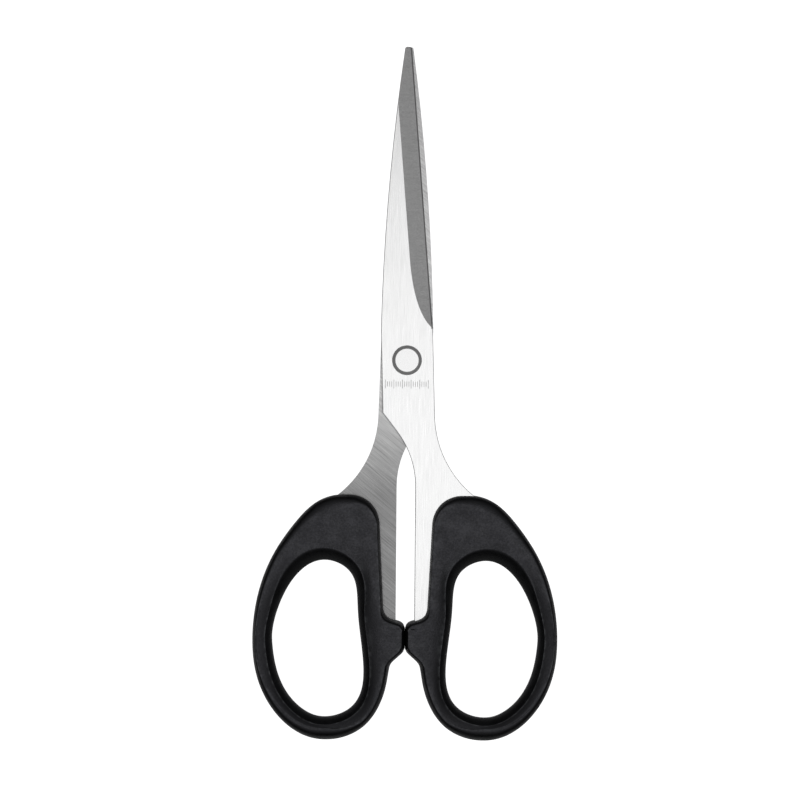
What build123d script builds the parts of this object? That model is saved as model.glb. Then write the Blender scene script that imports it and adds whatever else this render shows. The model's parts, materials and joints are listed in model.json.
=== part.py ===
from build123d import *

import os
from math import cos, radians, sin

# Office scissors, lying closed on their handles.
#
# Two stamped stainless blades turn on one rivet. Each blade runs on behind the rivet as a bent
# tang, and a finger loop of black plastic is moulded over that tang. The two halves have the same
# outline: the back half is the front half turned half a turn about the long axis.
#
# Row frame, millimetres: +Y points to the blade tips, +Z up from the table, and X = 0 is the line
# on which the closed blades lie. The origin is on the table under the middle of the length.
#
# Half frame, used for both halves: origin on the rivet's axis in the plane where the blades meet,
# +Y to the tips, +X to that half's own cutting edge and finger loop, +Z out through its outer face.

# ---- Blades -----------------------------------------------------------------------------------
TIP_REACH = 79.0  # rivet axis to the blade tips
BLADE_THICKNESS = 1.6
BLADE_GAP = 0.06  # free play between the two inner faces
TIP_WIDTH = 1.65
TIP_OVERLAP = 0.65  # how far each tip's cutting side passes the centre line
TIP_ROUNDING = 0.6
SPINE_BULGE = 5.15  # centre line to the spine, half way to the tip
SPINE_HALF_WIDTH = 6.6  # centre line to the spine at the rivet
EDGE_HALF_WIDTH = 6.45  # centre line to the end of the cutting edge
EDGE_START = 8.0  # rivet axis to where the cutting edge begins

# The ground face that makes the cutting edge
GRIND_WIDTH = 4.5
EDGE_LAND = 0.35  # metal left at the cutting edge
GRIND_OVERRUN = 1.3  # how far the grinding wheel passes the edge, in widths of the grind
RUNOUT_LENGTH = 18.5  # length in which the grind curves out to the edge
RUNOUT_TURN = 3.7  # length in which that curve makes most of its turn
RUNOUT_OVERSHOOT = 0.55  # how far the curve is carried on past the edge

# ---- Tangs ------------------------------------------------------------------------------------
HEEL_DROP = 13.2  # rivet axis to the heel, where the blade bends into its tang
HEEL_HALF_WIDTH = 6.0
HEEL_ANGLE = 37.5  # slope of the tang behind the heel, from the long axis
SHOULDER_HALF_WIDTH = 7.1  # centre line to the outer side beside the heel
TANG_SETBACK = 2.35  # centre line to a tang's inner side
CROTCH_RADIUS = 23.0
FLARE_WIDTH = 11.5  # how far the outer side flares out, from the shoulder to under the plastic
TANG_COVER = 1.2  # how deep the flare runs on under the plastic
TANG_ROOT_WIDTH = 13.2  # width of the tang just under the plastic's front end
HOLE_COVER = 1.4  # plastic between the tang's tail and the finger hole
TANG_OVERLAP = 0.8  # how far the tang runs on behind the front of the stop
TANG_CORNER_ROUNDING = 1.2
KEY_HOLE_RADIUS = 1.5  # the plastic flows through this hole and locks the tang
KEY_HOLE_DROP = 5.0  # front end of the plastic to that hole
KEY_HOLE_SETBACK = 8.6  # inner side of the tang to that hole
KEY_NOTCH_RADIUS = 0.9

# ---- Handles ----------------------------------------------------------------------------------
HANDLE_THICKNESS = 8.4
HANDLE_FRONT = 33.9  # rivet axis to the front end of the plastic
WEB_LENGTH = 16.6  # plastic between that end and the finger hole
HOLE_SETBACK = 10.35  # centre line to the finger hole
HOLE_WIDTH = 23.1
HOLE_LENGTH = 39.5
SIDE_LIMB = 5.0  # plastic outside the finger hole
REAR_SIDE_LIMB = 5.3
REAR_LIMB = 5.8
INNER_LIMB = 5.95
WEB_LIMB = 3.4  # the web's inner side to the hole's inner side
STOP_FRONT = 66.2  # rivet axis to the front of the flats on which the handles meet
STOP_LENGTH = 7.1
STOP_GAP = 0.1  # centre line to each flat
SHELF_LENGTH = 1.5  # slope from the stop's front up to the web's inner side
SHELF_TAPER = 1.55
NECK_LENGTH = 3.2  # slope from the stop's rear down to the loop
NECK_TAPER = 0.7
LOOP_START = 7.5  # stop's rear to where the loop's curve starts
WEB_ROUNDING = 7.5
SHELF_ROUNDING = 3.0
NECK_ROUNDING = 2.6
CORNER_ROUNDING = 1.3
RIM_FILLET = 1.2
HOLE_FILLET = 1.7

# ---- Rivet ------------------------------------------------------------------------------------
RIVET_RADIUS = 2.0
RUNNING_CLEARANCE = 0.05  # rivet in the back blade's hole, all round
HEAD_RADIUS = 3.8
HEAD_HEIGHT = 0.8
HEAD_RIM_HEIGHT = 0.3
HEAD_FLAT_RADIUS = 2.9
WASHER_RADIUS = 3.6
WASHER_THICKNESS = 0.5
WASHER_PLAY = 0.03
WASHER_CHAMFER = 0.12
TAIL_RADIUS = 2.9
TAIL_HEIGHT = 0.7
TAIL_RIM_HEIGHT = 0.2
TAIL_FLAT_RADIUS = 1.6

# ---- Places that follow from those sizes ------------------------------------------------------
HOLE_FRONT = -(HANDLE_FRONT + WEB_LENGTH)
HOLE_REAR = HOLE_FRONT - HOLE_LENGTH
PIVOT_Y = (REAR_LIMB - HOLE_REAR - TIP_REACH) / 2
MEETING_HEIGHT = HANDLE_THICKNESS / 2
INNER_FACE = BLADE_GAP / 2
OUTER_FACE = INNER_FACE + BLADE_THICKNESS
TANG_END = -STOP_FRONT - TANG_OVERLAP
TAIL_SIDE = HOLE_SETBACK - HOLE_COVER
LOOP_SETBACK = HOLE_SETBACK - INNER_LIMB
WEB_SIDE = HOLE_SETBACK - WEB_LIMB

PIVOT = (0, PIVOT_Y, MEETING_HEIGHT)
FRONT_HALF = Plane(origin=PIVOT, x_dir=(1, 0, 0), z_dir=(0, 0, 1))
BACK_HALF = Plane(origin=PIVOT, x_dir=(-1, 0, 0), z_dir=(0, 0, -1))

# The finger hole's outline, counter-clockwise from its outermost point, as shares of its width
# outwards from its inner side and of its length forwards from its rear end
HOLE_OUTLINE = (
    (1.000, 0.489),
    (0.963, 0.646),
    (0.407, 1.000),
    (0.163, 0.931),
    (0.067, 0.673),
    (0.164, 0.049),
    (0.498, 0.006),
    (0.658, 0.048),
    (0.927, 0.262),
)

# The web's outline from beside the hole to its front end, as shares of the hole's width and of
# the web's length forwards from the hole
WEB_OUTLINE = ((1.015, 0.03), (0.768, 0.554), (0.500, 0.904), (0.234, 1.000))


def hole_curve() -> Edge:
    """The finger hole as one closed curve in the half frame."""
    points = [
        (HOLE_SETBACK + across * HOLE_WIDTH, HOLE_REAR + along * HOLE_LENGTH)
        for across, along in HOLE_OUTLINE
    ]
    return Spline(*points, periodic=True, mode=Mode.PRIVATE)


def beside_hole(number: int, limb: float) -> Vector:
    """The point one limb's width outside the numbered point of the finger hole's outline."""
    curve = hole_curve()
    across, along = HOLE_OUTLINE[number]
    point = Vector(HOLE_SETBACK + across * HOLE_WIDTH, HOLE_REAR + along * HOLE_LENGTH)
    direction = curve % curve.param_at_point(point)
    return point + Vector(direction.Y, -direction.X) * limb


def scissor_blade(half: Plane, rivet_hole_radius: float) -> BuildPart:
    """One stamped and ground blade with its tang."""
    tip_edge = Vector(TIP_OVERLAP, TIP_REACH)
    tip_spine = Vector(TIP_OVERLAP - TIP_WIDTH, TIP_REACH)
    edge_end = Vector(EDGE_HALF_WIDTH, EDGE_START)
    spine_end = Vector(-SPINE_HALF_WIDTH, EDGE_START)
    heel = Vector(-HEEL_HALF_WIDTH, -HEEL_DROP)

    # The tang leaves the heel on a straight slope, then an arc turns it along the centre line
    slope = radians(HEEL_ANGLE)
    arc_shift = CROTCH_RADIUS * (1 - cos(slope))
    slope_length = (TANG_SETBACK + HEEL_HALF_WIDTH - arc_shift) / sin(slope)
    slope_way = Vector(sin(slope), -cos(slope))
    crotch_front = heel + slope_way * slope_length
    crotch_rear = crotch_front + Vector(arc_shift, -CROTCH_RADIUS * sin(slope))

    # The outer side flares out on one arc until it is under the plastic
    shoulder = Vector(SHOULDER_HALF_WIDTH, -HEEL_DROP)
    flare_drop = HANDLE_FRONT + TANG_COVER - HEEL_DROP
    flare_end = shoulder + Vector(FLARE_WIDTH, -flare_drop)

    # Under the plastic the tang narrows to a tail that passes the finger hole
    root = Vector(TANG_SETBACK + TANG_ROOT_WIDTH, -HANDLE_FRONT - KEY_HOLE_DROP)
    tail_front = Vector(TAIL_SIDE, HOLE_FRONT)
    tail_rear = Vector(TAIL_SIDE, TANG_END)
    tang_foot = Vector(TANG_SETBACK, TANG_END)

    with BuildPart() as blade:
        with BuildSketch(half.offset(INNER_FACE)) as outline:
            with BuildLine():
                ThreePointArc(tip_spine, (-SPINE_BULGE, TIP_REACH / 2), spine_end)
                Polyline(spine_end, heel, crotch_front)
                TangentArc(crotch_front, crotch_rear, tangent=slope_way)
                Polyline(crotch_rear, tang_foot, tail_rear, tail_front, root, flare_end)
                TangentArc(shoulder, flare_end, tangent=(0, -1))
                Polyline(shoulder, edge_end, tip_edge, tip_spine)
            make_face()
            fillet(outline.vertices().sort_by(Axis.Y)[-2:], radius=TIP_ROUNDING)
            hidden = [
                corner
                for corner in outline.vertices()
                if corner.X > WEB_SIDE and corner.Y < -HANDLE_FRONT
            ]
            fillet(hidden, radius=TANG_CORNER_ROUNDING)
        extrude(amount=BLADE_THICKNESS)

        # The grind: a slope falls from the outer face to the cutting edge. Its upper border runs
        # beside the edge and curves out to it at the rear, as a grinding wheel leaves it.
        edge_way = (edge_end - tip_edge).normalized()
        inwards = Vector(edge_way.Y, -edge_way.X)
        border_tip = tip_edge + (inwards - edge_way) * GRIND_WIDTH
        border_bend = edge_end + inwards * GRIND_WIDTH - edge_way * RUNOUT_LENGTH
        border_turn = edge_end + inwards * GRIND_WIDTH - edge_way * RUNOUT_TURN
        border_end = edge_end + (edge_way - inwards) * RUNOUT_OVERSHOOT
        with BuildLine(half.offset(OUTER_FACE)) as border:
            Line(border_tip, border_bend)
            Bezier(border_bend, border_turn, border_end)
        outwards = half.x_dir * -inwards.X + half.y_dir * -inwards.Y
        section = Plane(origin=border.line @ 0, x_dir=outwards, z_dir=border.line % 0)
        reach = GRIND_WIDTH * GRIND_OVERRUN
        fall = (BLADE_THICKNESS - EDGE_LAND) * GRIND_OVERRUN
        with BuildSketch(section):
            Polygon((0, 0), (reach, -fall), (reach, fall), (0, fall), align=None)
        sweep(path=border.line, mode=Mode.SUBTRACT)

        # The rivet's hole, and the hole and the notch that the plastic fills
        with BuildSketch(half.offset(INNER_FACE)):
            Circle(rivet_hole_radius)
            with Locations((TANG_SETBACK + KEY_HOLE_SETBACK, root.Y)):
                Circle(KEY_HOLE_RADIUS)
            with Locations((tail_rear.X, (tail_front.Y + tail_rear.Y) / 2)):
                Circle(KEY_NOTCH_RADIUS)
        extrude(amount=BLADE_THICKNESS, mode=Mode.SUBTRACT)
    return blade


def finger_handle(half: Plane, blade: Part) -> BuildPart:
    """One finger loop, moulded over the tang of the given blade."""
    stop_front = Vector(STOP_GAP, -STOP_FRONT)
    stop_rear = Vector(STOP_GAP, -STOP_FRONT - STOP_LENGTH)
    neck = Vector(LOOP_SETBACK - NECK_TAPER, stop_rear.Y - NECK_LENGTH)
    loop_start = Vector(LOOP_SETBACK, stop_rear.Y - LOOP_START)
    web = [
        Vector(HOLE_SETBACK + across * HOLE_WIDTH, HOLE_FRONT + along * WEB_LENGTH)
        for across, along in WEB_OUTLINE
    ]
    web_front = web[-1]
    corner = Vector(WEB_SIDE, web_front.Y)
    shelf = Vector(WEB_SIDE - SHELF_TAPER, stop_front.Y + SHELF_LENGTH)

    with BuildPart() as handle:
        with BuildSketch(half.offset(-HANDLE_THICKNESS / 2)) as outline:
            with BuildLine():
                Spline(
                    loop_start,
                    beside_hole(5, REAR_LIMB),
                    beside_hole(6, REAR_LIMB),
                    beside_hole(8, REAR_SIDE_LIMB),
                    beside_hole(0, SIDE_LIMB),
                    *web,
                    tangents=((loop_start - neck).normalized(), (-1, 0)),
                    tangent_scalars=(1, 1),
                )
                Polyline(web_front, corner, shelf, stop_front, stop_rear, neck, loop_start)
            make_face()
            fillet(outline.vertices().sort_by_distance(corner)[0], radius=WEB_ROUNDING)
            fillet(outline.vertices().sort_by_distance(shelf)[0], radius=SHELF_ROUNDING)
            fillet(outline.vertices().sort_by_distance(neck)[0], radius=NECK_ROUNDING)
            fillet(outline.vertices().sort_by_distance(stop_rear)[0], radius=CORNER_ROUNDING)
            fillet(outline.vertices().sort_by_distance(stop_front)[0], radius=CORNER_ROUNDING)
        extrude(amount=HANDLE_THICKNESS)
        fillet(handle.faces().filter_by(Axis.Z).edges(), radius=RIM_FILLET)

        # The finger hole, rounded wider than the rim
        with BuildSketch(half.offset(-HANDLE_THICKNESS / 2)):
            with BuildLine():
                add(hole_curve())
            make_face()
        extrude(amount=HANDLE_THICKNESS, mode=Mode.SUBTRACT)
        flats = handle.faces().filter_by(Axis.Z)
        hole_edges = [wire.edges() for flat in flats for wire in flat.inner_wires()]
        fillet(hole_edges, radius=HOLE_FILLET)

        # The plastic closes round the tang and fills its hole and notch
        add(blade, mode=Mode.SUBTRACT)
    return handle


os.makedirs("parts", exist_ok=True)

# Front half: the rivet is tight in this blade
front_blade = scissor_blade(FRONT_HALF, RIVET_RADIUS)
front_blade.part.label = "front_blade"
export_step(front_blade.part, "parts/front_blade.step")

front_handle = finger_handle(FRONT_HALF, front_blade.part)
front_handle.part.label = "front_handle"
export_step(front_handle.part, "parts/front_handle.step")

# Back half: the rivet turns in this blade
back_blade = scissor_blade(BACK_HALF, RIVET_RADIUS + RUNNING_CLEARANCE)
back_blade.part.label = "back_blade"
export_step(back_blade.part, "parts/back_blade.step")

back_handle = finger_handle(BACK_HALF, back_blade.part)
back_handle.part.label = "back_handle"
export_step(back_handle.part, "parts/back_handle.step")

# Rivet: a bevelled flat head on the front blade, a shank through both blades and the washer, and
# a tail that is pressed out over the washer
washer_front = -OUTER_FACE - WASHER_PLAY
washer_back = washer_front - WASHER_THICKNESS
tail_end = washer_back - TAIL_HEIGHT
rivet_section = Plane(origin=PIVOT, x_dir=(1, 0, 0), z_dir=(0, -1, 0))
with BuildPart() as pivot_rivet:
    with BuildSketch(rivet_section):
        with BuildLine():
            Polyline(
                (0, tail_end),
                (TAIL_FLAT_RADIUS, tail_end),
                (TAIL_RADIUS, washer_back - TAIL_RIM_HEIGHT),
                (TAIL_RADIUS, washer_back),
                (RIVET_RADIUS, washer_back),
                (RIVET_RADIUS, OUTER_FACE),
                (HEAD_RADIUS, OUTER_FACE),
                (HEAD_RADIUS, OUTER_FACE + HEAD_RIM_HEIGHT),
                (HEAD_FLAT_RADIUS, OUTER_FACE + HEAD_HEIGHT),
                (0, OUTER_FACE + HEAD_HEIGHT),
                close=True,
            )
        make_face()
    revolve(axis=Axis(PIVOT, (0, 0, 1)))
pivot_rivet.part.label = "pivot_rivet"
export_step(pivot_rivet.part, "parts/pivot_rivet.step")

# Washer under the rivet's tail, gripped by it and free of the back blade
with BuildPart() as rivet_washer:
    with BuildSketch(FRONT_HALF.offset(washer_back)):
        Circle(WASHER_RADIUS)
        Circle(RIVET_RADIUS, mode=Mode.SUBTRACT)
    extrude(amount=WASHER_THICKNESS)
    rims = rivet_washer.edges().filter_by(GeomType.CIRCLE).group_by(SortBy.RADIUS)[-1]
    chamfer(rims, length=WASHER_CHAMFER)
rivet_washer.part.label = "rivet_washer"
export_step(rivet_washer.part, "parts/rivet_washer.step")
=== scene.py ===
import json
import math

import bmesh
import bpy
import numpy as np
from mathutils import Matrix, Vector


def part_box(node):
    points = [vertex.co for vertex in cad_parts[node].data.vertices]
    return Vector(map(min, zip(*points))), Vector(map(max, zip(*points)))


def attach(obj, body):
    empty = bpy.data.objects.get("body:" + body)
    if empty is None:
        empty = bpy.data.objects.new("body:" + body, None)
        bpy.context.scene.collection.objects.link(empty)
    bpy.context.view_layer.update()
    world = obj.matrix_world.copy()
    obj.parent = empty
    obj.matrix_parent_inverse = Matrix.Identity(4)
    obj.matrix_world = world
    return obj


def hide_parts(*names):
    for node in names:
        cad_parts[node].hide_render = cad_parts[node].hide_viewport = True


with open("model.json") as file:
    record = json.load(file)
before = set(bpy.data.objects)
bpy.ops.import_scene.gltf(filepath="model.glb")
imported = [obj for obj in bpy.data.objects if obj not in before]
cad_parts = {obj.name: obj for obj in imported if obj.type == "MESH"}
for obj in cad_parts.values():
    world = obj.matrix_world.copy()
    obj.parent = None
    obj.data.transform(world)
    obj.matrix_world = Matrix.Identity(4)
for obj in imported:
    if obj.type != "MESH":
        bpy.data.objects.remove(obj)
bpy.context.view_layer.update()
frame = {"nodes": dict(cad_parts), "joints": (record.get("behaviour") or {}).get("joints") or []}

# ---------------------------------------------------------------------------------------------
# Front blade: 1.6 mm stainless strip, stamped to shape, belt-polished lengthwise on its outer
# face, wheel-ground to a cutting edge and surface-ground flat inside. The rivet is fixed in it,
# and its bent tang is moulded into the right-hand finger loop.
# ---------------------------------------------------------------------------------------------
pivot = Vector(frame["joints"][0]["pos_m"])
blade_low, blade_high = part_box("front_blade")
blade_thickness = blade_high.z - blade_low.z
inner_face_height = blade_low.z - pivot.z

grind_width = 0.0045
edge_land = 0.00035
grind_slope = (blade_thickness - edge_land) / grind_width
runout_length = 0.0185
runout_turn = 0.0037
runout_overshoot = 0.00055
runout_steps = 60
edge_start = 0.008
honed_width = 0.00032
honed_slope = math.tan(math.radians(38))
honed_fade = 0.0012
honed_rounding = 0.00002
stamped_rounding = 0.00015
rivet_hole_radius = 0.002
round_steps = 96


def level_outlines(node, height):
    """The closed lines in which a level plane cuts a CAD node, the longest first."""
    sliced = bmesh.new()
    sliced.from_mesh(frame["nodes"][node].data)
    bmesh.ops.remove_doubles(sliced, verts=sliced.verts, dist=1e-7)
    everything = [*sliced.verts, *sliced.edges, *sliced.faces]
    cut = bmesh.ops.bisect_plane(
        sliced, geom=everything, plane_co=(0, 0, height), plane_no=(0, 0, 1)
    )
    beside = {}
    for edge in cut["geom_cut"]:
        if isinstance(edge, bmesh.types.BMEdge):
            here, there = edge.verts
            beside.setdefault(here, []).append(there)
            beside.setdefault(there, []).append(here)
    outlines = []
    while beside:
        corner = next(iter(beside))
        outline = []
        while corner is not None:
            outline.append(corner.co.to_2d())
            corner = next((c for c in beside.pop(corner) if c in beside), None)
        outlines.append(np.array(outline))
    sliced.free()
    outlines.sort(key=lambda line: -np.linalg.norm(line - np.roll(line, 1, axis=0), axis=1).sum())
    return outlines


def ends_across(outline, y):
    """The left and right ends of an outline, level with this place along it."""
    ahead = np.roll(outline, -1, axis=0)
    crossing = (outline[:, 1] > y) != (ahead[:, 1] > y)
    here, there = outline[crossing], ahead[crossing]
    share = (y - here[:, 1]) / (there[:, 1] - here[:, 1])
    across = here[:, 0] + share * (there[:, 0] - here[:, 0])
    return across.min(), across.max()


def skinned(name, rings, closed, finish_of, creases=(), sheen_and_scuffing=None):
    """A mesh skinned over equal rings of points, joined end to end or capped at both ends.
    Strip n runs from point n of each ring to point n + 1. finish_of gives a strip's finish, creases
    are the points whose line stays sharp, and the last argument says how much each point is painted
    lighter, as a painted highlight along a crease and as scuffing."""
    rows, columns = len(rings), len(rings[0])
    skin = bmesh.new()
    # Each point's amount of painted crease highlight and scuffing, kept on the mesh for the colour
    sheen_and_scuffing_layer = skin.verts.layers.float.new("sheen_and_scuffing")
    grid = [[skin.verts.new(point) for point in ring] for ring in rings]
    for row, column, amount in sheen_and_scuffing or ():
        grid[row][column][sheen_and_scuffing_layer] = amount
    for row in range(rows if closed else rows - 1):
        ring, after = grid[row], grid[(row + 1) % rows]
        for column in range(columns):
            beside = (column + 1) % columns
            face = skin.faces.new((ring[column], ring[beside], after[beside], after[column]))
            face.material_index = finish_of(row, column)
        for column in creases:
            skin.edges.get((ring[column], after[column])).smooth = False
    if not closed:
        for ring in (grid[0], grid[-1]):
            cap = skin.faces.new(ring)
            cap.material_index = finish_of(0, 0)
            for edge in cap.edges:
                edge.smooth = False
    bmesh.ops.remove_doubles(skin, verts=skin.verts, dist=1e-7)
    loose = [edge for edge in skin.edges if not edge.link_faces]
    bmesh.ops.delete(skin, geom=loose, context="EDGES")
    bmesh.ops.recalc_face_normals(skin, faces=skin.faces)
    for face in skin.faces:
        face.smooth = True
    mesh = bpy.data.meshes.new(name)
    skin.to_mesh(mesh)
    skin.free()
    return mesh


def strokes(nodes, links, angle, width, length):
    """Noise drawn out into straight strokes of this width and length, at this angle to X."""
    place = nodes.new("ShaderNodeTexCoord")
    turned = nodes.new("ShaderNodeMapping")
    turned.inputs["Rotation"].default_value = (0, 0, -angle)
    drawn = nodes.new("ShaderNodeMapping")
    drawn.inputs["Scale"].default_value = (1 / length, 1 / width, 1 / width)
    noise = nodes.new("ShaderNodeTexNoise")
    noise.inputs["Scale"].default_value = 1.0
    noise.inputs["Detail"].default_value = 3.0
    links.new(place.outputs["Object"], turned.inputs["Vector"])
    links.new(turned.outputs["Vector"], drawn.inputs["Vector"])
    links.new(drawn.outputs["Vector"], noise.inputs["Vector"])
    return noise.outputs["Fac"]


def from_to(nodes, links, factor, low, high, from_low=0.3, from_high=0.7):
    """A value that goes from low to high while the factor goes between its own two ends."""
    spread = nodes.new("ShaderNodeMapRange")
    spread.inputs["From Min"].default_value = from_low
    spread.inputs["From Max"].default_value = from_high
    spread.inputs["To Min"].default_value = low
    spread.inputs["To Max"].default_value = high
    links.new(factor, spread.inputs["Value"])
    return spread.outputs["Result"]


def calculated(nodes, links, operation, first, second):
    """Two values, or a value and a number, put together by one arithmetic step."""
    step = nodes.new("ShaderNodeMath")
    step.operation = operation
    links.new(first, step.inputs[0])
    if isinstance(second, float):
        step.inputs[1].default_value = second
    else:
        links.new(second, step.inputs[1])
    return step.outputs["Value"]


def stroked_steel(name, shade, contrast, roughness, angle, width, length, depth, fades=None):
    """Stainless steel with the strokes of a belt or a wheel at one angle. Each stroke is a little
    lighter or darker than the next, smoother or rougher, and cut a little into the surface. fades
    gives a second shade and the two places along Y between which the steel goes over to it."""
    steel = bpy.data.materials.new(name)
    steel.use_nodes = True
    nodes, links = steel.node_tree.nodes, steel.node_tree.links
    surface = nodes["Principled BSDF"]
    surface.inputs["Metallic"].default_value = 1.0
    fine = strokes(nodes, links, angle, width, length)
    broad = strokes(nodes, links, angle, width * 6, length * 3)
    streaks = from_to(nodes, links, fine, 1 - contrast, 1 + contrast)
    bands = from_to(nodes, links, broad, 1 - contrast / 3, 1 + contrast / 3)
    tone = calculated(nodes, links, "MULTIPLY", streaks, bands)
    if fades:
        far_shade, near_y, far_y = fades
        place = nodes.new("ShaderNodeTexCoord")
        split = nodes.new("ShaderNodeSeparateXYZ")
        links.new(place.outputs["Object"], split.inputs["Vector"])
        base = from_to(nodes, links, split.outputs["Y"], shade, far_shade, near_y, far_y)
        tone = calculated(nodes, links, "MULTIPLY", tone, base)
    else:
        tone = calculated(nodes, links, "MULTIPLY", tone, shade)
    colour = nodes.new("ShaderNodeCombineColor")
    links.new(tone, colour.inputs["Red"])
    links.new(tone, colour.inputs["Green"])
    links.new(tone, colour.inputs["Blue"])
    links.new(colour.outputs["Color"], surface.inputs["Base Color"])
    dull = from_to(nodes, links, fine, roughness + 0.05, roughness - 0.05)
    links.new(dull, surface.inputs["Roughness"])
    relief = nodes.new("ShaderNodeBump")
    relief.inputs["Strength"].default_value = 1.0
    relief.inputs["Distance"].default_value = depth
    links.new(fine, relief.inputs["Height"])
    links.new(relief.outputs["Normal"], surface.inputs["Normal"])
    return steel


lengthwise = math.radians(90)
crosswise = math.radians(4)
diagonal = math.radians(-40)
# The inner face goes over to a darker shade along Y, from 6 mm to 34 mm below the pivot, towards
# the handles
tang_shade = (0.27, pivot.y - 0.006, pivot.y - 0.034)
blade_finishes = [
    stroked_steel("belt_polished_steel", 0.86, 0.028, 0.3, lengthwise, 0.00006, 0.006, 1.4e-6),
    stroked_steel("wheel_ground_steel", 0.76, 0.14, 0.6, crosswise, 0.0001, 0.004, 3e-6),
    stroked_steel("honed_steel", 0.8, 0.1, 0.55, lengthwise, 0.00005, 0.003, 1e-6),
    stroked_steel(
        "surface_ground_steel", 0.6, 0.36, 0.36, diagonal, 0.00004, 0.008, 3e-6, tang_shade
    ),
    stroked_steel("sheared_steel", 0.55, 0.1, 0.45, lengthwise, 0.00015, 0.0008, 5e-6),
]
POLISHED, GROUND, HONED, INSIDE, SHEARED = range(5)

blade_outline = level_outlines("front_blade", blade_low.z + blade_thickness / 8)[0]
blade_outline = blade_outline - np.array(pivot.to_2d())
tip_reach = blade_outline[:, 1].max()
tang_reach = blade_outline[:, 1].min()

# The grind's upper border runs beside the edge, then curves down and runs out over it
below_tip = tip_reach - 0.001
edge_tip = Vector((ends_across(blade_outline, below_tip)[1], below_tip))
edge_end = Vector((ends_across(blade_outline, edge_start)[1], edge_start))
edge_way = (edge_end - edge_tip).normalized()
inwards = Vector((edge_way.y, -edge_way.x))
border_bend = edge_end + inwards * grind_width - edge_way * runout_length
border_turn = edge_end + inwards * grind_width - edge_way * runout_turn
border_end = edge_end + (edge_way - inwards) * runout_overshoot
border = [border_bend - edge_way * tip_reach]
for step in range(runout_steps + 1):
    t = step / runout_steps
    border.append(border_bend * (1 - t) ** 2 + border_turn * 2 * t * (1 - t) + border_end * t**2)
border = np.array(border)


def fall_of_grind(x, y):
    """How far the grind has gone below the outer face here: its distance past the border, square
    to it, times the grind's slope."""
    border_x = np.interp(y, border[::-1, 1], border[::-1, 0], left=math.inf)
    if x <= border_x:
        return 0.0
    starts, runs = border[:-1], np.diff(border, axis=0)
    offset = np.array((x, y)) - starts
    share = np.clip((offset * runs).sum(axis=1) / (runs**2).sum(axis=1), 0, 1)
    passed = np.linalg.norm(offset - runs * share[:, None], axis=1).min()
    return min(passed * grind_slope, blade_thickness - edge_land)


def blade_ring(y):
    """One ring round the blade, from the spine over the outer face to the cutting side and back
    along the inner face."""
    left, right = ends_across(blade_outline, y)
    rounding = min(stamped_rounding, (right - left) * 0.1)
    outer_face_height = inner_face_height + blade_thickness
    border_x = np.interp(y, border[::-1, 1], border[::-1, 0], left=right)
    line = min(max(border_x, left + rounding * 2), right - rounding * 3)
    honed = min(honed_width, (right - line) * 0.5)
    keen = min(max((y - edge_start) / honed_fade, 0), 1)
    ring = [(left, inner_face_height)]
    spine_height = outer_face_height - fall_of_grind(left + rounding, y)
    for turn in (0, 22, 45, 68, 90):
        turn = math.radians(turn)
        drop = rounding * (1 - math.sin(turn))
        ring.append((left + rounding * (1 - math.cos(turn)), spine_height - drop))
    for share in (0.03, 0.12, 0.28, 0.46, 0.64, 0.82, 0.97, 1):
        x = left + rounding + (line - left - rounding) * share
        ring.append((x, outer_face_height - fall_of_grind(x, y)))
    bevel = right - honed
    for share in (0.03, 0.15, 0.35, 0.55, 0.75, 0.97, 1):
        x = line + (bevel - line) * share
        ring.append((x, outer_face_height - fall_of_grind(x, y)))
    bevel_height = ring[-1][1]
    corner = rounding + (honed_rounding - rounding) * keen
    for turn in (0, 30, 60, 90):
        turn = math.radians(turn)
        x = right - corner * (1 - math.sin(turn))
        height = bevel_height - honed_slope * keen * (x - bevel) - corner * (1 - math.cos(turn))
        ring.append((x, height))
    ring.append((right, inner_face_height))
    for share in (0.98, 0.85, 0.65, 0.45, 0.25, 0.1, 0.02):
        ring.append((left + (right - left) * share, inner_face_height))
    return [Vector((x, y, height)) + pivot for x, height in ring]


stations = [tip_reach - distance for distance in (2e-6, 3e-5, 8e-5, 1.6e-4, 2.7e-4, 4e-4, 7e-4)]
stations += list(np.arange(below_tip, edge_start + 0.005, -0.0008))
stations += list(np.arange(edge_start + 0.005, edge_start - 0.001, -0.00015))
stations += list(np.arange(edge_start - 0.0012, tang_reach + 0.0003, -0.0005))
stations.append(tang_reach + 2e-6)
strip_finishes = [SHEARED] * 5 + [POLISHED] * 8 + [GROUND] * 7 + [HONED] * 4
strip_finishes += [SHEARED] + [INSIDE] * 8


def blade_finish(row, strip):
    """The finish of one strip of the blade: below the edge its outer face is polished all over."""
    finish = strip_finishes[strip]
    return POLISHED if finish in (GROUND, HONED) and stations[row] < edge_start else finish


def drilled(name, mesh, finishes, hole_radius):
    """A blade with its rivet hole drilled through."""
    blade = bpy.data.objects.new(name, mesh)
    bpy.context.scene.collection.objects.link(blade)
    for finish in finishes:
        mesh.materials.append(finish)
    bit = bmesh.new()
    bmesh.ops.create_cone(
        bit,
        cap_ends=True,
        segments=round_steps,
        radius1=hole_radius,
        radius2=hole_radius,
        depth=blade_thickness * 6,
        matrix=Matrix.Translation(pivot),
    )
    drill = bpy.data.objects.new("drill", bpy.data.meshes.new("drill"))
    bit.to_mesh(drill.data)
    bit.free()
    bpy.context.scene.collection.objects.link(drill)
    hole = blade.modifiers.new("rivet_hole", "BOOLEAN")
    hole.object = drill
    hole.operation = "DIFFERENCE"
    hole.solver = "EXACT"
    bpy.context.view_layer.update()
    cut = blade.evaluated_get(bpy.context.evaluated_depsgraph_get())
    finished = bpy.data.meshes.new_from_object(cut)
    blade.modifiers.remove(hole)
    bpy.data.objects.remove(drill)
    blade.data = finished
    return blade


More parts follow.
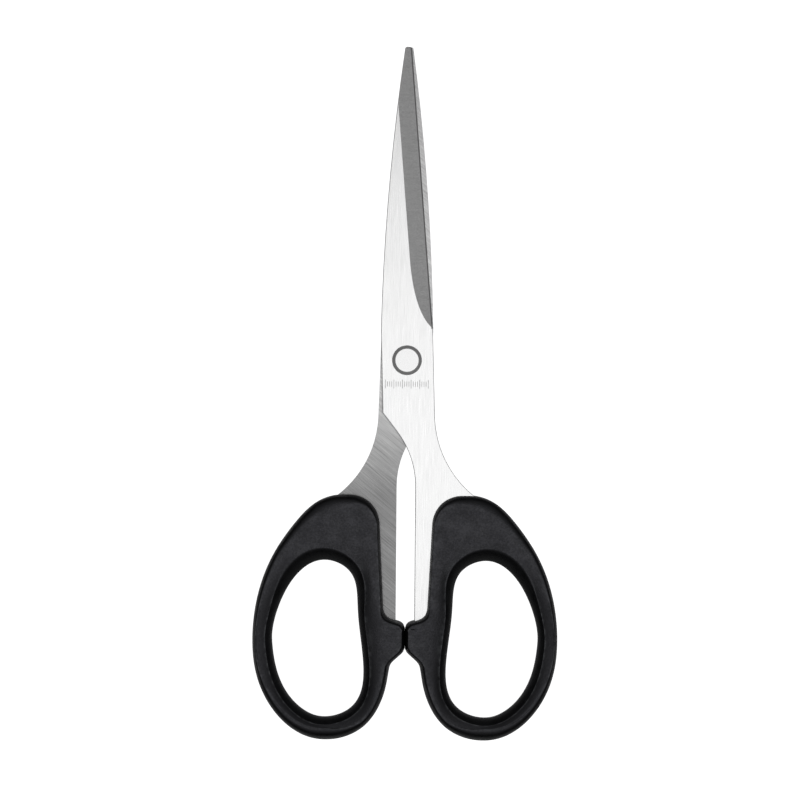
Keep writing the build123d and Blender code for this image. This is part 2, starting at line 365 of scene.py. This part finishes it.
blade_rings = [blade_ring(y) for y in stations]
blade_mesh = skinned("front_blade_ground", blade_rings, False, blade_finish, (0, 13, 20, 25))
half_turn = Matrix.Rotation(math.pi, 4, "Y")
turned_over = Matrix.Translation(pivot) @ half_turn @ Matrix.Translation(-pivot)
back_blade_mesh = blade_mesh.copy()
back_blade_mesh.transform(turned_over)

front_blade = drilled("front_blade_ground", blade_mesh, blade_finishes, rivet_hole_radius)
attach(front_blade, "front_half")
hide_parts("front_blade")

# ---------------------------------------------------------------------------------------------
# Back blade: the same stamping turned over about its length, so that the two flat inner faces
# meet. Its hole is a running fit round the rivet, and its tang goes into the left-hand loop.
# ---------------------------------------------------------------------------------------------
running_clearance = 0.00005

back_blade = drilled(
    "back_blade_ground",
    back_blade_mesh,
    blade_finishes,
    rivet_hole_radius + running_clearance,
)
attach(back_blade, "back_half")
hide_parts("back_blade")

# ---------------------------------------------------------------------------------------------
# Finger loops: black ABS, injection-moulded round the tangs in a two-part tool that leaves a
# fine parting line round the middle. The flat faces are lightly grained and every rim is rounded,
# most of all at the front of the hole, where a finger bears.
# ---------------------------------------------------------------------------------------------
station_spacing = 0.0004
outline_softening = 3
# The stops' flats lie this near the centre line, and are moved up to it, so that they touch
stop_flat_reach = 0.00015
stop_play = 0.0001
# How wide in mm, and how softly, the rim is rounded by the bearing it faces: outwards is 0 and
# the front is 90. Softness 0 ends in a crease, and softness 1 runs into the face.
rim_bearings = (0, 30, 55, 80, 100, 130, 177, 183, 195, 225, 270, 315)
rim_roundings = (0.8, 1.8, 5.0, 4.4, 2.8, 1.4, 0.6, 1.3, 1.3, 1.6, 3.4, 2.2)
rim_softness = (0.1, 0.8, 1, 1, 0.9, 0.6, 0.1, 0.7, 0.2, 0.3, 0.55, 0.5)
creased_power = 2.2
crease_steepness = math.tan(math.radians(46))
soft_power = 3.8
rounding_rises = (0.05, 0.2, 0.35, 0.5, 0.63, 0.75, 0.86, 0.94, 0.98, 0.994, 0.999, 0.9999)
crease_width = 0.00012
parting_depth = 0.00005
# Round the stop, forwards of a line this far behind the hole's middle, the rim is narrower. It
# grows to full width between these two distances from the centre line.
stop_length = 0.0065
stop_reach = (0.0065, 0.0105)
stop_rounding = 0.0012
widest_rounding = 0.005
# The hole's edge is rounded most at its front, and the face is crowned, so that it drops towards
# the hole
hole_rounding = 0.0016
hole_front_rounding = 0.0037
hole_front_bearing = math.radians(86)
hole_front_softness = 0.25
hole_front_focus = 5
crown_drop = 0.0009
crown_reach = 0.005
face_shares = (0.04, 0.2, 0.4, 0.6, 0.8, 0.96)
section_height = 0.75


def evenly_spaced(outline, spacing):
    """A closed outline taken counter-clockwise in equal steps, with its facets softened."""
    if np.cross(outline, np.roll(outline, -1, axis=0)).sum() < 0:
        outline = outline[::-1]
    looped = np.vstack((outline, outline[:1]))
    along = np.append(0, np.linalg.norm(np.diff(looped, axis=0), axis=1).cumsum())
    places = np.linspace(0, along[-1], round(along[-1] / spacing), endpoint=False)
    even = np.stack([np.interp(places, along, looped[:, axis]) for axis in (0, 1)], axis=1)
    for _ in range(outline_softening):
        even = (np.roll(even, 1, axis=0) + 2 * even + np.roll(even, -1, axis=0)) / 4
    return even


def outward(outline):
    """The unit directions square to a counter-clockwise outline, away from its inside."""
    way = np.roll(outline, -1, axis=0) - np.roll(outline, 1, axis=0)
    way = way / np.linalg.norm(way, axis=1)[:, None]
    return np.stack((way[:, 1], -way[:, 0]), axis=1)


def rounded_rim(edge, across, width, softness, middle, top):
    """The points of a rounded rim, from the parting line up on to the face. It is upright at the
    parting line and leans in until it meets the face in a crease, or softly."""
    line = [(*(edge + across * parting_depth), middle)]
    power = min(creased_power, (top - middle) / (width * crease_steepness))
    for rise in rounding_rises:
        creased = rise**power
        soft = 1 - (1 - rise**soft_power) ** (1 / soft_power)
        inset = width * (creased + (soft - creased) * softness)
        line.append((*(edge + across * inset), middle + (top - middle) * rise))
    line.append((*(edge + across * width), top - crease_width / 8))
    line.append((*(edge + across * (width + crease_width)), top))
    return line


def finger_loop(name, node, finish):
    """One finger loop, in rings that each go round the limb between its rim and its hole."""
    low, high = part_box(node)
    middle = (low.z + high.z) / 2
    cut_height = low.z + (high.z - low.z) * section_height
    rim, hole = level_outlines(node, cut_height)[:2]
    rim, hole = evenly_spaced(rim, station_spacing), evenly_spaced(hole, station_spacing)
    centre = hole.mean(axis=0)
    side = math.copysign(1, centre[0])
    hole_out = outward(hole)
    bearing = np.arctan2(*(hole - centre).T[::-1])
    order = bearing.argsort()
    bearing, hole, hole_out = bearing[order], hole[order], hole_out[order]
    rim[:, 0] -= np.where(abs(rim[:, 0]) < stop_flat_reach, side * stop_play, 0)
    # Each ring is given a bearing about the hole's middle that never runs backwards, so that the
    # rings don't cross where the rim doubles back at the stop
    rim = np.roll(rim, -(rim[:, 0] * side).argmax(), axis=0)
    onward = np.unwrap(np.arctan2(*(rim - centre).T[::-1]))
    onward = np.maximum.accumulate(onward) + np.minimum.accumulate(onward[::-1])[::-1]
    rings, sheen_and_scuffing = [], []
    for edge, out, angle in zip(rim, outward(rim), onward / 2):
        facing = math.degrees(math.atan2(out[1], out[0] * side)) % 360
        rim_width = np.interp(facing, rim_bearings, rim_roundings, period=360) / 1000
        if edge[1] > centre[1] - stop_length:
            most = np.interp(abs(edge[0]), stop_reach, (stop_rounding, widest_rounding))
            rim_width = min(rim_width, most)
        softness = np.interp(facing, rim_bearings, rim_softness, period=360)
        face_start = edge - out * rim_width
        hole_edge, into = (
            np.array([np.interp(angle, bearing, line[:, axis], period=math.tau) for axis in (0, 1)])
            for line in (hole, hole_out)
        )
        into = into / np.linalg.norm(into)
        lean = math.atan2(math.sin(angle), math.cos(angle) * side) - hole_front_bearing
        front_share = max(0, math.cos(lean)) ** hole_front_focus
        drop = crown_drop * (1 - front_share)
        hole_width = hole_rounding + (hole_front_rounding - hole_rounding) * front_share
        limb = np.linalg.norm(face_start - hole_edge) - hole_width
        rim_drop = drop * max(0, 1 - limb / crown_reach) ** 2
        outer = rounded_rim(edge, -out, rim_width, softness, middle, high.z - rim_drop)
        hole_softness = hole_front_softness * front_share
        inner = rounded_rim(hole_edge, into, hole_width, hole_softness, middle, high.z - drop)
        start, end = Vector(outer[-1]), Vector(inner[-1])
        face = [start.lerp(end, share) for share in face_shares]
        for point in face:
            past_hole = (point - end).to_2d().length
            point.z = high.z - drop * max(0, 1 - past_hole / crown_reach) ** 2
        upper = [Vector(point) for point in outer] + face + [Vector(point) for point in inner[::-1]]
        lower = [Vector((p.x, p.y, 2 * middle - p.z)) for p in upper[-2:0:-1]]
        rings.append(upper + lower)
        rim_crease = len(outer) - 1
        hole_crease = rim_crease + len(face) + 1
        # The creases, and half as much the points beside them, are painted lighter, more where the
        # crease is sharper: a painted highlight along the crease, and scuffing
        for place, amount in ((rim_crease, 1 - softness), (hole_crease, 1 - front_share)):
            for column in (place, place - 1, place + 1, len(upper + lower) - place):
                sheen_and_scuffing.append((len(rings) - 1, column, amount if column == place else amount / 2))
    mesh = skinned(name, rings, True, lambda row, strip: 0, sheen_and_scuffing=sheen_and_scuffing)
    mesh.materials.append(finish)
    loop = bpy.data.objects.new(name, mesh)
    bpy.context.scene.collection.objects.link(loop)
    return loop


def moulded_plastic(name, shade, sheen_and_scuffing_shade, roughness):
    """Black plastic with the fine grain of a spark-eroded tool and a slight mottle where it flowed.
    Along the creases it is painted greyish in patches: a painted highlight for the glint that runs
    along a crease, and scuffing where hands and tables rub."""
    plastic = bpy.data.materials.new(name)
    plastic.use_nodes = True
    nodes, links = plastic.node_tree.nodes, plastic.node_tree.links
    surface = nodes["Principled BSDF"]
    surface.inputs["Specular IOR Level"].default_value = 0.58
    surface.inputs["Specular Tint"].default_value = (0.91, 0.91, 1.0, 1.0)
    place = nodes.new("ShaderNodeTexCoord")

    def speckle(size, detail):
        noise = nodes.new("ShaderNodeTexNoise")
        noise.inputs["Scale"].default_value = 1 / size
        noise.inputs["Detail"].default_value = detail
        links.new(place.outputs["Object"], noise.inputs["Vector"])
        return noise.outputs["Fac"]

    grain = speckle(0.00045, 3.0)
    mottle = speckle(0.004, 4.0)
    # Where the mesh marks a crease, the colour is painted lighter in patches: a painted highlight
    # along the crease, and scuffing
    sheen_and_scuffing_amount = nodes.new("ShaderNodeAttribute")
    sheen_and_scuffing_amount.attribute_name = "sheen_and_scuffing"
    patches = from_to(nodes, links, speckle(0.0015, 4.0), 0.0, sheen_and_scuffing_shade, 0.42, 0.62)
    sheen_and_scuffing_tone = calculated(nodes, links, "MULTIPLY", sheen_and_scuffing_amount.outputs["Fac"], patches)
    tone = from_to(nodes, links, mottle, shade * 0.7, shade * 1.4)
    tone = calculated(nodes, links, "ADD", tone, sheen_and_scuffing_tone)
    colour = nodes.new("ShaderNodeCombineColor")
    links.new(tone, colour.inputs["Red"])
    links.new(calculated(nodes, links, "MULTIPLY", tone, 1.04), colour.inputs["Green"])
    links.new(calculated(nodes, links, "MULTIPLY", tone, 1.08), colour.inputs["Blue"])
    links.new(colour.outputs["Color"], surface.inputs["Base Color"])
    both = calculated(nodes, links, "ADD", grain, mottle)
    dull = from_to(nodes, links, both, roughness - 0.1, roughness + 0.1, 0.75, 1.25)
    links.new(dull, surface.inputs["Roughness"])
    relief = nodes.new("ShaderNodeBump")
    relief.inputs["Strength"].default_value = 1.0
    relief.inputs["Distance"].default_value = 4e-5
    links.new(grain, relief.inputs["Height"])
    links.new(relief.outputs["Normal"], surface.inputs["Normal"])
    return plastic


# 0.1 is how much lighter the creases are painted, as painted highlight and scuffing
black_plastic = moulded_plastic("grained_black_plastic", 0.004, 0.1, 0.42)
front_loop = finger_loop("front_finger_loop", "front_handle", black_plastic)
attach(front_loop, "front_half")
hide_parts("front_handle")

back_loop = finger_loop("back_finger_loop", "back_handle", black_plastic)
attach(back_loop, "back_half")
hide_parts("back_handle")

# ---------------------------------------------------------------------------------------------
# Pivot rivet: turned steel with a wide bevelled head on the front blade. It is pressed tight in
# the front blade, and its tail is spun over the washer at the back so that the blades stay snug.
# ---------------------------------------------------------------------------------------------
head_radius = 0.00373
head_flat_radius = 0.00293
head_rim_height = 0.0003
tail_radius = 0.0029
tail_flat_radius = 0.0016
tail_rim_height = 0.0002
corner_easing = 0.00009
washer_low, washer_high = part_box("rivet_washer")
rivet_low, rivet_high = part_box("pivot_rivet")


def eased(profile, easing):
    """A closed profile with each corner that is off the axis rounded between close supports."""
    line = []
    for here, corner in enumerate(profile):
        if corner.x == 0:
            line.append(corner)
            continue
        back = (profile[here - 1] - corner).normalized() * easing
        ahead = (profile[(here + 1) % len(profile)] - corner).normalized() * easing
        line.append(corner + back * 1.5)
        for t in (0, 0.25, 0.5, 0.75, 1):
            line.append(corner + back * (1 - t) ** 2 + ahead * t**2)
        line.append(corner + ahead * 1.5)
    return line


def turned(name, profile, finish_of_height, finishes):
    """A piece turned about the pivot. Its profile is radii and heights."""
    rings = []
    for step in range(round_steps):
        angle = math.tau * step / round_steps
        way = Vector((math.cos(angle), math.sin(angle), 0))
        rings.append([Vector((pivot.x, pivot.y, p.y)) + way * p.x for p in profile])
    count = len(profile)

    def finish_of(row, strip):
        middle = (profile[strip] + profile[(strip + 1) % count]) / 2
        return finish_of_height(middle)

    mesh = skinned(name, rings, True, finish_of)
    for finish in finishes:
        mesh.materials.append(finish)
    piece = bpy.data.objects.new(name, mesh)
    bpy.context.scene.collection.objects.link(piece)
    return piece


def turned_steel(name, shade, roughness, ring_width, depth):
    """Steel with the fine rings that a facing tool leaves round the pivot."""
    steel = bpy.data.materials.new(name)
    steel.use_nodes = True
    nodes, links = steel.node_tree.nodes, steel.node_tree.links
    surface = nodes["Principled BSDF"]
    surface.inputs["Metallic"].default_value = 1.0
    place = nodes.new("ShaderNodeTexCoord")
    centred = nodes.new("ShaderNodeMapping")
    centred.inputs["Location"].default_value = (-pivot.x, -pivot.y, 0)
    centred.inputs["Scale"].default_value = (1, 1, 0)
    radius = nodes.new("ShaderNodeVectorMath")
    radius.operation = "LENGTH"
    rings = nodes.new("ShaderNodeTexNoise")
    rings.noise_dimensions = "1D"
    rings.inputs["Scale"].default_value = 1 / ring_width
    links.new(place.outputs["Object"], centred.inputs["Vector"])
    links.new(centred.outputs["Vector"], radius.inputs[0])
    links.new(radius.outputs["Value"], rings.inputs["W"])
    tone = from_to(nodes, links, rings.outputs["Fac"], shade * 0.93, shade * 1.07)
    colour = nodes.new("ShaderNodeCombineColor")
    links.new(tone, colour.inputs["Red"])
    links.new(tone, colour.inputs["Green"])
    links.new(tone, colour.inputs["Blue"])
    links.new(colour.outputs["Color"], surface.inputs["Base Color"])
    dull = from_to(nodes, links, rings.outputs["Fac"], roughness - 0.04, roughness + 0.04)
    links.new(dull, surface.inputs["Roughness"])
    relief = nodes.new("ShaderNodeBump")
    relief.inputs["Distance"].default_value = depth
    links.new(rings.outputs["Fac"], relief.inputs["Height"])
    links.new(relief.outputs["Normal"], surface.inputs["Normal"])
    return steel


rivet_profile = [
    Vector((0, rivet_high.z)),
    Vector((head_flat_radius, rivet_high.z)),
    Vector((head_radius, blade_high.z + head_rim_height)),
    Vector((head_radius, blade_high.z)),
    Vector((rivet_hole_radius, blade_high.z)),
    Vector((rivet_hole_radius, washer_low.z)),
    Vector((tail_radius, washer_low.z)),
    Vector((tail_radius, washer_low.z - tail_rim_height)),
    Vector((tail_flat_radius, rivet_low.z)),
    Vector((0, rivet_low.z)),
]
rivet_finishes = [
    turned_steel("faced_rivet_steel", 0.79, 0.27, 0.00012, 1e-6),
    turned_steel("pressed_rivet_steel", 0.85, 0.56, 0.0002, 2e-6),
]


def rivet_finish(point):
    """The head's flat is faced bright, and everything else is left as it was pressed."""
    return 0 if point.y > rivet_high.z - 1e-5 or point.y < rivet_low.z + 1e-5 else 1


rivet = turned(
    "turned_pivot_rivet", eased(rivet_profile, corner_easing), rivet_finish, rivet_finishes
)
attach(rivet, "front_half")
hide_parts("pivot_rivet")

# ---------------------------------------------------------------------------------------------
# Rivet washer: punched steel, flat, with broken edges. It lies loose between the back blade and
# the rivet's spun tail, and turns with the rivet.
# ---------------------------------------------------------------------------------------------
washer_radius = (washer_high.x - washer_low.x) / 2
washer_hole_radius = 0.00205
washer_easing = 0.00008

washer_profile = [
    Vector((washer_hole_radius, washer_low.z)),
    Vector((washer_radius, washer_low.z)),
    Vector((washer_radius, washer_high.z)),
    Vector((washer_hole_radius, washer_high.z)),
]
washer = turned(
    "punched_rivet_washer",
    eased(washer_profile, washer_easing),
    lambda point: 0,
    [turned_steel("punched_washer_steel", 0.6, 0.38, 0.0003, 2e-6)],
)
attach(washer, "front_half")
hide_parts("rivet_washer")

# ---------------------------------------------------------------------------------------------
# Etched mark: a row of fine upright ticks, every fourth one taller, etched into the front blade
# below the rivet. It is a plain decoration and says nothing.
# ---------------------------------------------------------------------------------------------
tick_sizes = {"Count": 21, "Spacing": 0.00054, "Width": 0.00013, "Length": 0.0013, "Depth": 8e-6}
tall_tick = 1.7
ticks_below_pivot = 0.006


def tick_row(name):
    """The node tree that sets out a row of ticks along X from the origin, with every fourth one
    taller.
    """
    tree = bpy.data.node_groups.new(name, "GeometryNodeTree")
    nodes, links = tree.nodes, tree.links
    tree.interface.new_socket("Geometry", in_out="INPUT", socket_type="NodeSocketGeometry")
    for size, value in tick_sizes.items():
        kind = "NodeSocketInt" if isinstance(value, int) else "NodeSocketFloat"
        tree.interface.new_socket(size, in_out="INPUT", socket_type=kind)
    tree.interface.new_socket("Finish", in_out="INPUT", socket_type="NodeSocketMaterial")
    tree.interface.new_socket("Geometry", in_out="OUTPUT", socket_type="NodeSocketGeometry")
    sizes = nodes.new("NodeGroupInput").outputs
    step = nodes.new("ShaderNodeCombineXYZ")
    row = nodes.new("GeometryNodeMeshLine")
    tick_size = nodes.new("ShaderNodeCombineXYZ")
    tick = nodes.new("GeometryNodeMeshCube")
    number = nodes.new("GeometryNodeInputIndex")
    fourth = nodes.new("ShaderNodeMath")
    fourth.operation = "MODULO"
    fourth.inputs[1].default_value = 4
    short = nodes.new("ShaderNodeMath")
    short.operation = "GREATER_THAN"
    short.inputs[1].default_value = 0.5
    height = nodes.new("ShaderNodeMapRange")
    height.inputs["To Min"].default_value = tall_tick
    height.inputs["To Max"].default_value = 1
    stretch = nodes.new("ShaderNodeCombineXYZ")
    stretch.inputs["X"].default_value = 1
    stretch.inputs["Z"].default_value = 1
    placed = nodes.new("GeometryNodeInstanceOnPoints")
    real = nodes.new("GeometryNodeRealizeInstances")
    finished = nodes.new("GeometryNodeSetMaterial")
    result = nodes.new("NodeGroupOutput")
    links.new(sizes["Spacing"], step.inputs["X"])
    links.new(sizes["Count"], row.inputs["Count"])
    links.new(step.outputs["Vector"], row.inputs["Offset"])
    links.new(sizes["Width"], tick_size.inputs["X"])
    links.new(sizes["Length"], tick_size.inputs["Y"])
    links.new(sizes["Depth"], tick_size.inputs["Z"])
    links.new(tick_size.outputs["Vector"], tick.inputs["Size"])
    links.new(number.outputs["Index"], fourth.inputs[0])
    links.new(fourth.outputs["Value"], short.inputs[0])
    links.new(short.outputs["Value"], height.inputs["Value"])
    links.new(height.outputs["Result"], stretch.inputs["Y"])
    links.new(row.outputs["Mesh"], placed.inputs["Points"])
    links.new(tick.outputs["Mesh"], placed.inputs["Instance"])
    links.new(stretch.outputs["Vector"], placed.inputs["Scale"])
    links.new(placed.outputs["Instances"], real.inputs["Geometry"])
    links.new(real.outputs["Geometry"], finished.inputs["Geometry"])
    links.new(sizes["Finish"], finished.inputs["Material"])
    links.new(finished.outputs["Geometry"], result.inputs["Geometry"])
    return tree


etched_finish = stroked_steel("etched_steel", 0.5, 0.25, 0.5, lengthwise, 0.00009, 0.0004, 4e-6)
ticks = bpy.data.objects.new("etched_ticks", bpy.data.meshes.new("etched_ticks"))
bpy.context.scene.collection.objects.link(ticks)
setting_out = ticks.modifiers.new("setting_out", "NODES")
setting_out.node_group = tick_row("etched_ticks")
for socket in setting_out.node_group.interface.items_tree:
    if socket.name in tick_sizes:
        setting_out[socket.identifier] = tick_sizes[socket.name]
    elif socket.name == "Finish":
        setting_out[socket.identifier] = etched_finish
bpy.context.view_layer.update()
set_out = ticks.evaluated_get(bpy.context.evaluated_depsgraph_get())
ticks.data = bpy.data.meshes.new_from_object(set_out)
ticks.modifiers.remove(setting_out)
half_row = tick_sizes["Spacing"] * (tick_sizes["Count"] - 1) / 2
ticks.data.transform(
    Matrix.Translation((pivot.x - half_row, pivot.y - ticks_below_pivot, blade_high.z))
)
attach(ticks, "front_half")

# ---------------------------------------------------------------------------------------------
# Floor, light and camera: a pale floor with an upturned edge, seen through from below, under one
# large soft light almost straight above. The room is dim, and the camera looks straight down.
# ---------------------------------------------------------------------------------------------
floor_glow = 0.97
floor_sides = 64
floor_profile = ((1.6, 0), (2.2, 0.05), (2.7, 0.22), (3, 0.48), (3.1, 0.75))
light_height = 1.0
light_shift = 0.05
light_setback = -0.05
light_width = 0.8
light_length = 0.56
light_power = 1.54
room_shade = 0.012
room_glow = 0.2
floor_reflection = 0.3
lens = 0.1
sensor = 0.036
view_width = 0.20115
view_offset = Vector((-0.00168, -0.01001))
view_roll = math.radians(0.45)

floor_mesh = bpy.data.meshes.new("floor")
floor_points = [
    (reach * math.cos(turn), reach * math.sin(turn), rise)
    for reach, rise in floor_profile
    for turn in np.arange(floor_sides) * math.tau / floor_sides
]
floor_faces = [list(range(floor_sides))]
for ring in range(len(floor_profile) - 1):
    inside, outside = ring * floor_sides, (ring + 1) * floor_sides
    for turn in range(floor_sides):
        beside = (turn + 1) % floor_sides
        floor_faces.append([inside + turn, outside + turn, outside + beside, inside + beside])
floor_mesh.from_pydata(floor_points, [], floor_faces)
floor = bpy.data.objects.new("floor", floor_mesh)
bpy.context.scene.collection.objects.link(floor)
paper = bpy.data.materials.new("pale_paper")
paper.use_nodes = True
paper_surface = paper.node_tree.nodes["Principled BSDF"]
paper_surface.inputs["Base Color"].default_value = (0.9, 0.9, 0.9, 1)
paper_surface.inputs["Roughness"].default_value = 0.9
paper_surface.inputs["Specular IOR Level"].default_value = 0.0
paper_surface.inputs["Emission Color"].default_value = (1, 1, 1, 1)
paper_surface.inputs["Emission Strength"].default_value = floor_glow
paper_nodes, paper_links = paper.node_tree.nodes, paper.node_tree.links
paper_side = paper_nodes.new("ShaderNodeNewGeometry")
paper_or_none = paper_nodes.new("ShaderNodeMixShader")
seen_through = paper_nodes.new("ShaderNodeBsdfTransparent")
paper_links.new(paper_side.outputs["Backfacing"], paper_or_none.inputs["Fac"])
paper_links.new(paper_surface.outputs["BSDF"], paper_or_none.inputs[1])
paper_links.new(seen_through.outputs["BSDF"], paper_or_none.inputs[2])
paper_links.new(paper_or_none.outputs["Shader"], paper_nodes["Material Output"].inputs["Surface"])
floor_mesh.materials.append(paper)
floor.visible_glossy = False
floor.visible_diffuse = False

softbox = bpy.data.lights.new("softbox", "AREA")
softbox.shape = "RECTANGLE"
softbox.size = light_width
softbox.size_y = light_length
softbox.energy = light_power
softbox_stand = bpy.data.objects.new("softbox", softbox)
softbox_stand.location = (light_shift, light_setback, light_height)
bpy.context.scene.collection.objects.link(softbox_stand)

room = bpy.data.worlds.new("room")
room.use_nodes = True
room_nodes, room_links = room.node_tree.nodes, room.node_tree.links
way = room_nodes.new("ShaderNodeTexCoord")
level = room_nodes.new("ShaderNodeSeparateXYZ")
room_links.new(way.outputs["Generated"], level.inputs["Vector"])
below = from_to(
    room_nodes, room_links, level.outputs["Z"], floor_reflection, room_shade, -0.8, -0.35
)
above = from_to(room_nodes, room_links, level.outputs["Z"], 0.0, room_glow, 0.25, 0.6)
dimness = calculated(room_nodes, room_links, "ADD", below, above)
room_links.new(dimness, room_nodes["Background"].inputs["Strength"])
room_nodes["Background"].inputs["Color"].default_value = (1, 1, 1, 1)
bpy.context.scene.world = room
bpy.context.scene.view_settings.view_transform = "Standard"

camera_data = bpy.data.cameras.new("camera")
camera_data.lens = lens * 1000
camera_data.sensor_width = sensor * 1000
camera = bpy.data.objects.new("camera", camera_data)
distance = view_width * lens / sensor
camera.location = (
    pivot.x + view_offset.x,
    pivot.y + view_offset.y,
    blade_high.z + distance,
)
camera.rotation_euler = (0, 0, view_roll)
bpy.context.scene.collection.objects.link(camera)
bpy.context.scene.camera = camera
